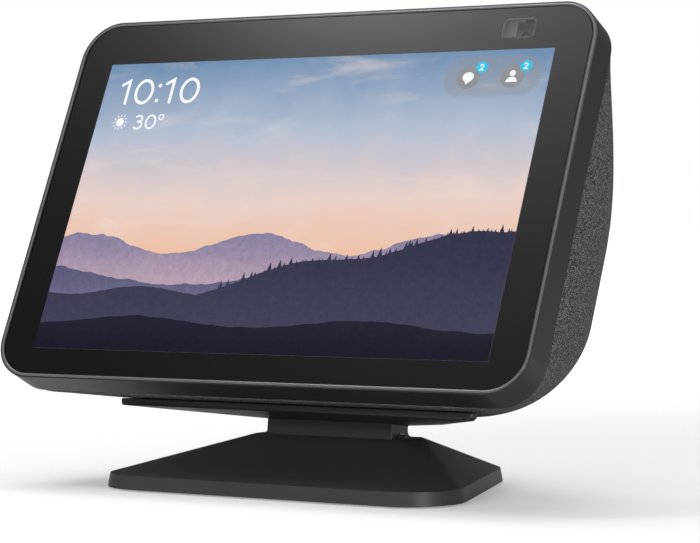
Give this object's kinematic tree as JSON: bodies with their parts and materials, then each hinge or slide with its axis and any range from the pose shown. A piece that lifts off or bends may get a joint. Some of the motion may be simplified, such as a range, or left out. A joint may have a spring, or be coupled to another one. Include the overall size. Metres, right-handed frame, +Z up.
{
  "type": "smart display",
  "caption": "Tabletop touch display with a fabric back, top buttons and camera shutter, on a magnetic tilting stand.",
  "frame": {"origin": "centre of the stand's underside, on the table", "axes": "+X to the viewer's right, the screen faces -Y, +Z up"},
  "size_m": [0.2004, 0.1058, 0.1594],
  "materials": {
    "cover_glass": "gloss",
    "black_rubber": "matte",
    "display_cell": "gloss",
    "light_guide": "gloss",
    "sheet_steel": "satin",
    "frame_plastic": "satin",
    "inner_plastic": "matte",
    "knit_fabric": "knitted",
    "aluminium": "satin",
    "circuit_board": "satin",
    "tinned_steel": "satin",
    "chip_resin": "matte",
    "paper_cone": "matte",
    "magnet": "satin",
    "camera_black": "matte",
    "lens_glass": "gloss",
    "button_plastic": "satin",
    "port_plastic": "satin",
    "brass_pin": "polished",
    "copper_foil": "satin",
    "ribbon_film": "gloss",
    "screw_steel": "satin",
    "stand_plastic": "satin",
    "pad_silicone": "matte",
    "acetal": "satin",
    "spring_steel": "satin",
    "foot_rubber": "matte"
  },
  "bodies": {
    "stand": {"base_shell": "stand_plastic", "base_weight": "sheet_steel", "base_cover": "stand_plastic", "base_foot": "foot_rubber", "base_screws": "screw_steel", "hinge_pin": "spring_steel", "friction_discs": "spring_steel"},
    "plate": {"tilt_plate": "stand_plastic", "plate_pad": "pad_silicone", "plate_magnets": "magnet", "barrel_bushes": "acetal"},
    "display": {"cover_glass": "cover_glass", "glass_tape": "black_rubber", "display_cell": "display_cell", "light_guide": "light_guide", "backlight_tray": "sheet_steel", "front_frame": "frame_plastic", "mid_frame": "inner_plastic", "rear_shell": "inner_plastic", "rear_fabric": "knit_fabric", "bottom_foot": "black_rubber", "dock_keeper": "sheet_steel", "heat_spreader": "aluminium", "main_board": "circuit_board", "shield_cans": "tinned_steel", "board_chips": "chip_resin", "sound_box": "inner_plastic", "speaker_frames": "sheet_steel", "speaker_cones": "paper_cone", "speaker_surrounds": "black_rubber", "speaker_magnets": "magnet", "radiator_cone": "paper_cone", "radiator_surround": "black_rubber", "camera_module": "camera_black", "camera_lens": "lens_glass", "button_board": "circuit_board", "dome_switches": "tinned_steel", "microphones": "tinned_steel", "light_sensor": "lens_glass", "port_plate": "port_plastic", "power_inlet": "chip_resin", "inlet_pin": "brass_pin", "service_port": "tinned_steel", "antennas": "copper_foil", "screen_ribbon": "ribbon_film", "camera_ribbon": "ribbon_film", "frame_screws": "screw_steel"},
    "volume_up_key": {"volume_up": "button_plastic"},
    "volume_down_key": {"volume_down": "button_plastic"},
    "mic_key": {"mic_button": "button_plastic"},
    "shutter_slide": {"shutter": "frame_plastic"}
  },
  "joints": [
    {"name": "tilt", "type": "hinge", "parent": "stand", "child": "plate", "pos_m": [0, 0.0042, 0.0145], "axis": [-1, 0, 0], "range_deg": [-10, 12]},
    {"name": "dock", "type": "slide", "parent": "plate", "child": "display", "axis": [0, 0.1253, 0.9921], "range_m": [0, 0.05]},
    {"name": "volume_up_press", "type": "slide", "parent": "display", "child": "volume_up_key", "axis": [0, -0.4258, -0.9048], "range_m": [0, 0.0008], "stiffness_N_per_m": 900},
    {"name": "volume_down_press", "type": "slide", "parent": "display", "child": "volume_down_key", "axis": [0, -0.4258, -0.9048], "range_m": [0, 0.0008], "stiffness_N_per_m": 900},
    {"name": "mic_press", "type": "slide", "parent": "display", "child": "mic_key", "axis": [0, -0.4258, -0.9048], "range_m": [0, 0.0008], "stiffness_N_per_m": 900},
    {"name": "shutter_move", "type": "slide", "parent": "display", "child": "shutter_slide", "axis": [1, 0, 0], "range_m": [0, 0.0065]}
  ]
}
